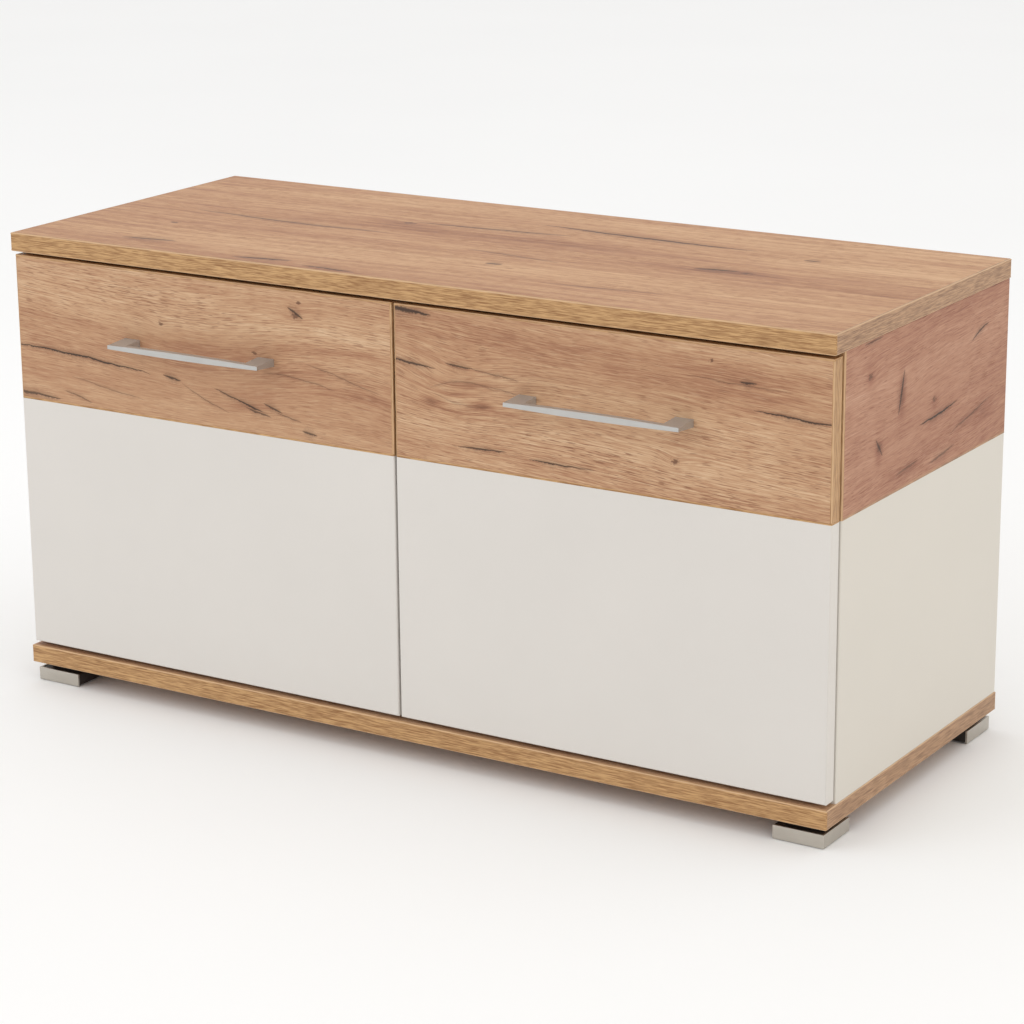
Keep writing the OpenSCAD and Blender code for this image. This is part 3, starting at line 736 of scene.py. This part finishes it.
def plain_mesh(node):
    """The CAD node's own shape, with doubled points and flat seams joined."""
    shape = bmesh.new()
    shape.from_mesh(frame["nodes"][node].data)
    bmesh.ops.remove_doubles(shape, verts=shape.verts, dist=DOUBLE)
    bmesh.ops.dissolve_limit(
        shape, angle_limit=FLAT, verts=shape.verts, edges=shape.edges, use_dissolve_boundaries=False
    )
    return shape


def bevel(shape, edges, radius, steps):
    bmesh.ops.bevel(
        shape, geom=edges, offset=radius * MM, offset_type="OFFSET", segments=steps,
        profile=0.5, affect="EDGES", clamp_overlap=True,
    )


def on_line(edge, planes):
    """True if both ends of an edge lie on both planes, each given as (axis, place)."""
    return all(abs(vert.co[axis] - place) < TOUCH for vert in edge.verts for axis, place in planes)


def show(node, shape, name, paint=None):
    """Makes the piece that stands for a CAD node, on the same body and with the same finish."""
    mesh = bpy.data.meshes.new(name)
    bmesh.ops.recalc_face_normals(shape, faces=shape.faces)
    if paint:
        paint(mesh, shape)
    else:
        mesh.materials.append(finish_of(node))
    for face in shape.faces:
        face.smooth = True
    shape.to_mesh(mesh)
    shape.free()
    mesh.set_sharp_from_angle(angle=SHARP)
    piece = bpy.data.objects.new(name, mesh)
    bpy.context.scene.collection.objects.link(piece)
    piece.modifiers.new("normals", "WEIGHTED_NORMAL").keep_sharp = True
    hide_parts(node)
    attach(piece, BODY_OF[node])


def round_lines(node, rounds, paint=None):
    """A copy of a CAD node, rounded along chosen lines: rounds are (radius, [(plane, plane), ...])."""
    shape = plain_mesh(node)
    for radius, lines in rounds:
        chosen = [edge for edge in shape.edges if any(on_line(edge, planes) for planes in lines)]
        bevel(shape, chosen, radius, STEPS)
    show(node, shape, node + "_rounded", paint)


def round_all(node, radius, shortest, steps):
    """A copy of a CAD node with every sharp edge over a certain length rounded."""
    shape = plain_mesh(node)
    chosen = [
        edge for edge in shape.edges
        if len(edge.link_faces) == 2
        and edge.calc_length() > shortest * MM
        and edge.calc_face_angle(0) > SHARP
    ]
    bevel(shape, chosen, radius, steps)
    show(node, shape, node + "_rounded")


def paint_strips(mesh, shape):
    """Gives each loose strip the edging whose grain runs along it."""
    for axis in "XYZ":
        mesh.materials.append(BANDS[axis])
    waiting = set(shape.faces)
    while waiting:
        strip = set()
        queue = [waiting.pop()]
        while queue:
            face = queue.pop()
            strip.add(face)
            for edge in face.edges:
                for other in edge.link_faces:
                    if other in waiting:
                        waiting.discard(other)
                        queue.append(other)
        points = [vert.co for face in strip for vert in face.verts]
        spans = [max(p[i] for p in points) - min(p[i] for p in points) for i in range(3)]
        longest = spans.index(max(spans))
        for face in strip:
            face.material_index = longest


def corners(node):
    """The planes of a node's box: x0, x1, y0, y1, z0, z1, each as (axis, place)."""
    low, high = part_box(node)
    return [(axis, corner[axis]) for axis in range(3) for corner in (low, high)]


def make_board_bands(node):
    x0, x1, y0, y1, z0, z1 = corners(node)
    rims = [(side, level) for side in (x0, x1, y0, y1) for level in (z0, z1)]
    uprights = [(x, y) for x in (x0, x1) for y in (y0, y1)]
    round_lines(node, [(BOARD_RIM, rims), (BOARD_CORNER, uprights)], paint_strips)


def make_front_bands(node):
    x0, x1, y0, y1, z0, z1 = corners(node)
    shown = [(y0, z1), (y0, x0), (y0, x1)]
    hidden = [(y1, z1), (y1, x0), (y1, x1), (y1, z0), (x0, z1), (x1, z1)]
    seam = [(y0, z0)]
    round_lines(node, [(SHOWN_EDGE, shown), (HIDDEN_EDGE, hidden), (BAND_SEAM, seam)], paint_strips)


def make_white_front(node):
    x0, x1, y0, y1, z0, z1 = corners(node)
    shown = [(y0, z0), (y0, x0), (y0, x1)]
    hidden = [(y1, z0), (y1, x0), (y1, x1), (y1, z1), (x0, z0), (x1, z0)]
    seam = [(y0, z1)]
    round_lines(node, [(SHOWN_EDGE, shown), (HIDDEN_EDGE, hidden), (WHITE_SEAM, seam)])


def make_side_bands(node):
    x0, x1, y0, _, z0, _ = corners(node)
    inner = [(0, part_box("left_side_lower")[1].x), (0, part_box("right_side_lower")[0].x)]
    shown = [(y0, x) for x in (x0, x1, *inner)]
    seams = [(x, z0) for x in (x0, x1)]
    round_lines(node, [(SHOWN_EDGE, shown), (WHITE_SEAM, seams)], paint_strips)


def make_white_side(node):
    x0, x1, y0, y1, z0, z1 = corners(node)
    outer = x0 if node.startswith("left") else x1
    shown = [(y0, x0), (y0, x1)]
    hidden = [(y1, x0), (y1, x1)]
    seams = [(outer, z0), (outer, z1)]
    round_lines(node, [(SHOWN_EDGE, shown), (HIDDEN_EDGE, hidden), (WHITE_SEAM, seams)])


make_board_bands("top_edge_bands")
make_board_bands("base_edge_bands")
make_side_bands("side_edge_bands")
for side in ("left", "right"):
    make_front_bands(side + "_front_bands")
    make_white_front(side + "_front_lower")
    make_white_side(side + "_side_lower")
    round_all(side + "_pull", *PULL_ROUND)
    for part in ("outer_side", "inner_side", "front", "back"):
        round_all(side + "_box_" + part, *BOX_ROUND)
for corner in ("front_left", "front_right", "rear_left", "rear_right"):
    round_all(corner + "_foot_angle", *ANGLE_ROUND)
    round_all(corner + "_foot_block", *BLOCK_ROUND)


# ---------- studio ----------

FLOOR_HALF = 30.0
FLOOR_DROP = 0.0002
WORLD_COLOUR = (1.0, 0.995, 0.985, 1.0)
WORLD_STRENGTH = 0.88
NEUTRAL_LIGHT = (1.0, 1.0, 1.0)
COOL_LIGHT = (0.9, 0.95, 1.0)
WARM_LIGHT = (1.0, 0.78, 0.40)
# The lights aim at the floor under the bench, or a little over it
FLOOR_POINT = (0.0, 0.0, 0.0)
LOW_POINT = (0.0, 0.0, 0.2)


def make_camera():
    centre = (CAD_BOX[0] + CAD_BOX[1]) / 2
    azimuth = math.radians(VIEW_FROM_AZIMUTH)
    elevation = math.radians(VIEW_FROM_ELEVATION)
    back = Vector((
        math.sin(azimuth) * math.cos(elevation),
        -math.cos(azimuth) * math.cos(elevation),
        math.sin(elevation),
    ))
    data = bpy.data.cameras.new("camera")
    data.lens = LENS_MM
    data.sensor_width = SENSOR_MM
    camera = bpy.data.objects.new("camera", data)
    bpy.context.scene.collection.objects.link(camera)
    camera.location = centre + back * VIEW_DISTANCE
    turn = Euler((math.radians(90 - LOOK_DOWN), 0, math.radians(LOOK_AZIMUTH)), "XYZ").to_matrix()
    camera.rotation_euler = (turn @ Euler((0, 0, math.radians(ROLL)), "XYZ").to_matrix()).to_euler()
    data.clip_start = CLIP_START
    data.clip_end = CLIP_END
    bpy.context.scene.camera = camera


def make_floor():
    mesh = bpy.data.meshes.new("studio_floor")
    ways = ((-1, -1), (1, -1), (1, 1), (-1, 1))
    points = [(x * FLOOR_HALF, y * FLOOR_HALF, -FLOOR_DROP) for x, y in ways]
    mesh.from_pydata(points, [], [(0, 1, 2, 3)])
    floor = bpy.data.objects.new("studio_floor", mesh)
    bpy.context.scene.collection.objects.link(floor)
    s = Shader("pale_floor")
    cloud = s.noise(s.coords, 0.8, 3.0)
    tint = s.ramp(cloud, [(0.3, (0.93, 0.93, 0.93, 1.0)), (0.7, (0.95, 0.95, 0.95, 1.0))])
    mesh.materials.append(s.finish(tint, s.math("MULTIPLY_ADD", cloud, 0.1, 0.75), specular=0.2))


def area_light(name, place, target, size, power, colour):
    data = bpy.data.lights.new(name, "AREA")
    data.shape = "RECTANGLE"
    data.size, data.size_y = size
    data.energy = power * LIGHT_LEVEL
    data.color = colour
    light = bpy.data.objects.new(name, data)
    bpy.context.scene.collection.objects.link(light)
    light.location = place
    light.rotation_euler = (Vector(target) - Vector(place)).to_track_quat("-Z", "Y").to_euler()


def make_lights():
    world = bpy.data.worlds.new("studio")
    world.use_nodes = True
    background = world.node_tree.nodes["Background"]
    background.inputs["Color"].default_value = WORLD_COLOUR
    background.inputs["Strength"].default_value = WORLD_STRENGTH * LIGHT_LEVEL
    bpy.context.scene.world = world
    area_light("overhead", (0.0, 0.2, 3.4), FLOOR_POINT, (4.0, 3.0), 10.0, NEUTRAL_LIGHT)
    area_light("key", (-2.6, -3.6, 2.6), LOW_POINT, (2.6, 2.6), 26.0, COOL_LIGHT)
    area_light("warm_fill", (4.2, -0.6, 1.6), LOW_POINT, (2.4, 2.4), 8.5, WARM_LIGHT)
    bpy.context.scene.view_settings.view_transform = "Standard"


make_camera()
make_floor()
make_lights()
